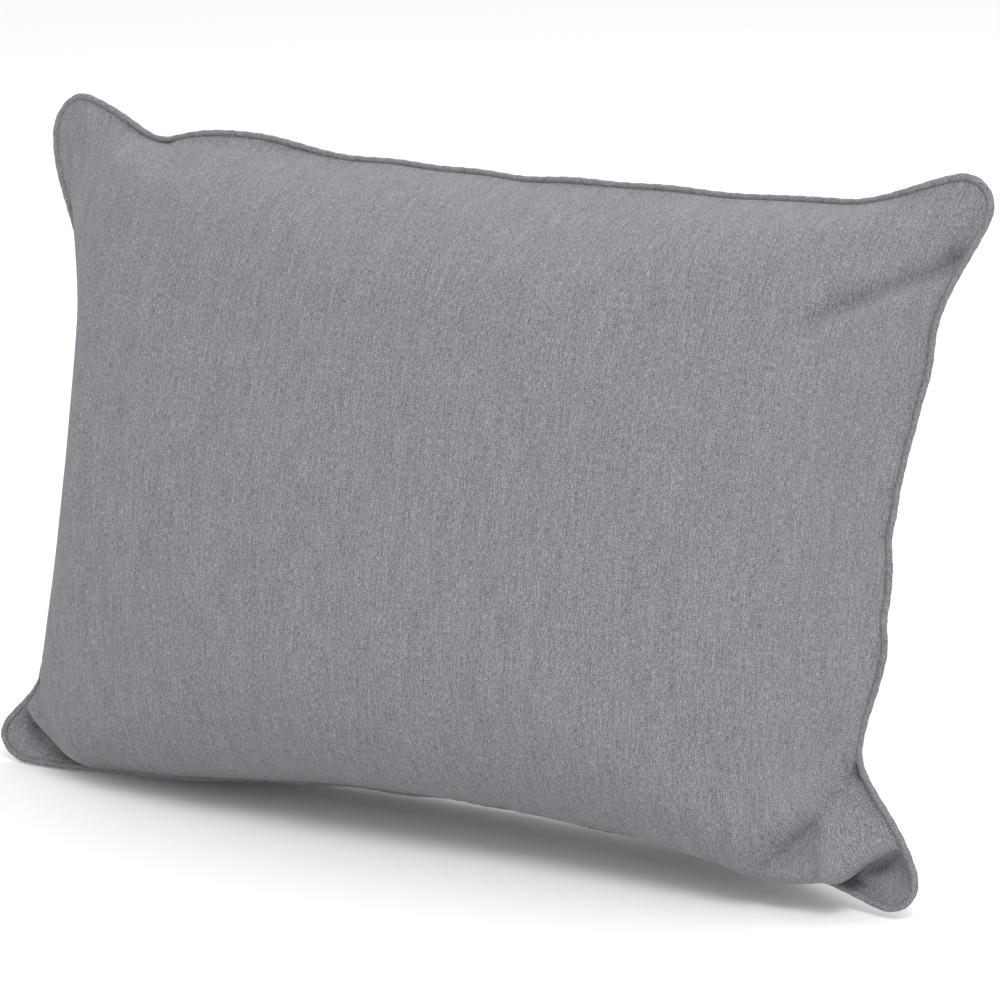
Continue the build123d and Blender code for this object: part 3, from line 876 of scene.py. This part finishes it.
class Nodes:
    """A short way to build a material's nodes."""

    def __init__(self, name):
        self.material = bpy.data.materials.new(name)
        self.material.use_nodes = True
        self.tree = self.material.node_tree
        self.shader = self.tree.nodes["Principled BSDF"]

    def add(self, kind, inputs=None, **settings):
        node = self.tree.nodes.new("ShaderNode" + kind)
        for key, value in settings.items():
            setattr(node, key, value)
        for key, value in (inputs or {}).items():
            if isinstance(value, bpy.types.NodeSocket):
                self.tree.links.new(value, node.inputs[key])
            else:
                node.inputs[key].default_value = value
        return node

    def mix(self, parts):
        """The sum of (output, weight) pairs."""
        total = 0.0
        for output, weight in parts:
            total = self.add("Math", {0: output, 1: weight, 2: total}, operation="MULTIPLY_ADD").outputs[0]
        return total

    def noise(self, vector, scale, detail, rough):
        """Noise around 0.5, with its own scale along each axis, in cells per metre."""
        stretched = self.add("Mapping", {"Vector": vector, "Scale": scale}).outputs[0]
        inputs = {"Vector": stretched, "Scale": 1.0, "Detail": detail, "Roughness": rough}
        return self.add("TexNoise", inputs).outputs[0]

    def ramp(self, value, stops):
        """A colour ramp with a stop at each (place, colour)."""
        node = self.add("ValToRGB", {0: value})
        elements = node.color_ramp.elements
        while len(elements) < len(stops):
            elements.new(0.5)
        for element, (place, colour) in zip(elements, stops):
            element.position = place
            element.color = (*colour, 1.0)
        return node.outputs[0]

    def spread(self, noise, low, high):
        """A value that goes from low to high over most of a noise's range."""
        return self.ramp(noise, [(0.3, (low,) * 3), (0.7, (high,) * 3)])

    def waves(self, vector, period, direction, distortion=0.0):
        """Bands across one axis, with their period in metres."""
        inputs = {"Vector": vector, "Scale": WAVE_PERIOD / period, "Distortion": distortion, "Detail": 1.0}
        return self.add("TexWave", inputs, bands_direction=direction).outputs["Fac"]

    def bump(self, height, strength, distance):
        return self.add("Bump", {"Height": height, "Strength": strength, "Distance": distance}).outputs[0]

    def finish(self, colour, rough, normal, **constants):
        """Joins up the shader; the constants are its other inputs, with _ for each space."""
        for output, name in ((colour, "Base Color"), (rough, "Roughness"), (normal, "Normal")):
            self.tree.links.new(output, self.shader.inputs[name])
        for name, value in constants.items():
            self.shader.inputs[name.replace("_", " ")].default_value = value
        return self.material


def linear(display):
    """An 8-bit display value as a linear one."""
    c = display / 255
    return c / 12.92 if c <= 0.04045 else ((c + 0.055) / 1.055) ** 2.4


def grey(display, tint=COOL_TINT):
    """A tinted grey of a display value."""
    return tuple(linear(display) * t for t in tint)


def melange(name, turn=0.0, lightness=0):
    """Woven melange cloth: fine flecks, faint long slubs along the warp, and a plain weave."""
    n = Nodes(name)
    uv = n.add("UVMap", uv_map="cloth").outputs[0]
    place = n.add("Mapping", {"Vector": uv, "Rotation": (0, 0, turn)}).outputs[0]
    fleck = n.noise(place, (1900, 1700, 1), 1.0, 0.6)
    dash = n.noise(place, (1600, 360, 1), 1.0, 0.6)
    slub = n.noise(place, (800, 60, 1), 1.0, 0.6)
    band = n.noise(place, (110, 14, 1), 1.0, 0.5)
    mixed = n.mix([(fleck, 0.57), (dash, 0.26), (slub, 0.13), (band, 0.04)])
    colour = n.ramp(mixed, [(value, grey(shade + lightness)) for value, shade in MELANGE_SHADES])
    warp = n.waves(place, 0.00055, "X", 0.5)
    weft = n.waves(place, 0.00065, "Y", 0.5)
    height = n.mix([(warp, 0.8), (weft, 0.8), (fleck, 0.5), (slub, 0.2)])
    bump = n.bump(height, 0.25, 0.0003)
    rough = n.spread(fleck, 0.84, 0.96)
    return n.finish(colour, rough, bump, Sheen_Weight=0.1, Sheen_Roughness=0.5, Specular_IOR_Level=0.2)


def plain_weave(name, dark, light, tint, period, roughness=0.85):
    """Undyed or single-colour cloth, in the object's own coordinates."""
    n = Nodes(name)
    place = n.add("TexCoord").outputs["Object"]
    fibre = n.noise(place, (1400, 1400, 1400), 3.0, 0.6)
    cloud = n.noise(place, (60, 60, 60), 2.0, 0.5)
    mixed = n.mix([(fibre, 0.7), (cloud, 0.3)])
    colour = n.ramp(mixed, [(0.35, grey(dark, tint)), (0.65, grey(light, tint))])
    height = n.mix([(n.waves(place, period, "X"), 0.5), (n.waves(place, period, "Z"), 0.5), (fibre, 0.4)])
    rough = n.spread(fibre, roughness - 0.08, roughness + 0.06)
    return n.finish(colour, rough, n.bump(height, 0.4, 0.0003), Specular_IOR_Level=0.25)


def metal(name, dark, light):
    """Cast and tumbled zinc: faint grain, a few fine scratches and dull edges."""
    n = Nodes(name)
    place = n.add("TexCoord").outputs["Object"]
    grain = n.noise(place, (2600, 2600, 2600), 3.0, 0.6)
    smear = n.noise(place, (420, 90, 420), 2.0, 0.5)
    scratch = n.noise(place, (700, 9000, 700), 1.0, 0.5)
    colour = n.ramp(n.mix([(grain, 0.4), (smear, 0.6)]), [(0.3, grey(dark)), (0.7, grey(light))])
    rough = n.spread(n.mix([(smear, 0.6), (scratch, 0.4)]), 0.24, 0.46)
    return n.finish(colour, rough, n.bump(n.mix([(grain, 0.6), (scratch, 0.4)]), 0.12, 0.0002), Metallic=1.0)


def polyester(name, dark, light):
    """Extruded filament, for the coils and the thread: smooth, slightly shiny, with faint marks."""
    n = Nodes(name)
    place = n.add("TexCoord").outputs["Object"]
    grain = n.noise(place, (1800, 1800, 1800), 2.0, 0.5)
    colour = n.ramp(grain, [(0.3, grey(dark)), (0.7, grey(light))])
    rough = n.spread(grain, 0.35, 0.5)
    return n.finish(colour, rough, n.bump(grain, 0.1, 0.0001))


cover_cloth = melange("cover_cloth")
piping_cloth = melange("piping_cloth", turn=pi / 4, lightness=-3)
tape_cloth = plain_weave("tape_cloth", 104, 128, (0.985, 1.0, 1.05), 0.0009)
casing_cloth = plain_weave("casing_cloth", 214, 236, (1.0, 1.0, 0.985), 0.0006)
cord_cotton = plain_weave("cord_cotton", 200, 228, (1.0, 0.985, 0.94), 0.0012)
fibre = plain_weave("filling_fibre", 222, 244, (1.0, 1.0, 1.0), 0.004, roughness=0.9)
zinc = metal("slider_metal", 150, 196)
coil_plastic = polyester("coil_plastic", 100, 126)
thread = polyester("thread", 118, 142)


def declare(obj, material, slot, *nodes, body="pillow"):
    """Gives a piece its material and the body that it rides on, and hides the CAD nodes it stands for. The
    slot is not used.
    """
    obj.data.materials.clear()
    obj.data.materials.append(material)
    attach(obj, body)
    if nodes:
        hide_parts(*nodes)


declare(cover_front, cover_cloth, "cover_fabric", "cover_front_panel")
declare(cover_back_upper, cover_cloth, "cover_fabric", "cover_back_upper_panel")
declare(cover_back_lower, cover_cloth, "cover_fabric", "cover_back_lower_panel")
declare(piping_sleeve, piping_cloth, "piping_fabric", "piping_sleeve")
declare(piping_cord, cord_cotton, "cord_cotton", "piping_cord")
declare(casing_front, casing_cloth, "casing_fabric", "casing_front_panel")
declare(casing_back, casing_cloth, "casing_fabric", "casing_back_panel")
declare(filling, fibre, "fibre_filling", "filling")
declare(zip_thread, thread, "cover_fabric")
declare(coil_upper, coil_plastic, "zip_coil", "zip_coil_upper")
declare(coil_lower, coil_plastic, "zip_coil", "zip_coil_lower")
declare(top_stops, zinc, "zip_metal", "zip_top_stops")
declare(bottom_stop, zinc, "zip_metal", "zip_bottom_stop")
declare(slider_body, zinc, "zip_metal", "zip_slider_body", body="zip_slider")
declare(slider_crown, zinc, "zip_metal", "zip_slider_crown", body="zip_slider")
declare(pull_tab, zinc, "zip_metal", "zip_pull_tab", body="zip_pull")
for node in ("zip_tape_upper", "zip_tape_lower"):
    for material_slot in bpy.data.objects[node].material_slots:
        material_slot.material = tape_cloth

# ---------------------------------------------------------------- floor, light and camera

MIDDLE = Vector((0.0, 0.0, 0.190))  # what the lights and the camera are aimed at
FLOOR_HALF = 9


def stage():
    """A wide floor of white paper."""
    corners = [(x * FLOOR_HALF, y * FLOOR_HALF, 0) for x, y in ((-1, -1), (1, -1), (1, 1), (-1, 1))]
    floor = make_object("floor", corners, [(0, 1, 2, 3)])
    n = Nodes("floor_paper")
    n.shader.inputs["Base Color"].default_value = (0.95, 0.95, 0.95, 1)
    n.shader.inputs["Roughness"].default_value = 0.9
    n.shader.inputs["Specular IOR Level"].default_value = 0.1
    floor.data.materials.append(n.material)


def aim(obj, place, target):
    """Puts a light or camera in its place, turned to face the target."""
    obj.location = place
    obj.rotation_euler = (Vector(target) - Vector(place)).to_track_quat("-Z", "Y").to_euler()


def area_light(name, place, size, power):
    """A round soft light."""
    light = bpy.data.lights.new(name, "AREA")
    light.shape = "DISK"
    light.size = size
    light.energy = power
    obj = bpy.data.objects.new(name, light)
    bpy.context.scene.collection.objects.link(obj)
    aim(obj, place, MIDDLE)


def studio():
    """Soft light from above and in front, over an even white surround."""
    area_light("key", (1.15, -1.5, 2.5), 1.2, 39)
    area_light("fill", (1.2, -1.9, 0.8), 1.6, 2)
    area_light("back", (0.4, 1.2, 2.3), 1.4, 18)
    world = bpy.data.worlds.new("studio")
    bpy.context.scene.world = world
    world.use_nodes = True
    background = world.node_tree.nodes["Background"]
    background.inputs["Color"].default_value = (1, 1, 1, 1)
    background.inputs["Strength"].default_value = 0.92
    bpy.context.scene.view_settings.view_transform = "Standard"


def photo_camera():
    """The photograph's view: from the right, a little above, through a long lens."""
    azimuth, elevation, roll = radians(29.12), radians(14.75), radians(-0.3)
    distance, angle = 2.388, radians(13.0)
    right_offset, up_offset = 0.0208, -0.0080
    away = Vector((sin(azimuth) * cos(elevation), -cos(azimuth) * cos(elevation), sin(elevation)))
    right = Vector((cos(azimuth), sin(azimuth), 0))
    up = away.cross(right)
    camera = bpy.data.cameras.new("camera")
    obj = bpy.data.objects.new("camera", camera)
    bpy.context.scene.collection.objects.link(obj)
    bpy.context.scene.camera = obj
    camera.angle = angle
    target = MIDDLE + right * right_offset + up * up_offset
    aim(obj, target + away * distance, target)
    obj.rotation_euler.rotate_axis("Z", roll)


stage()
studio()
photo_camera()
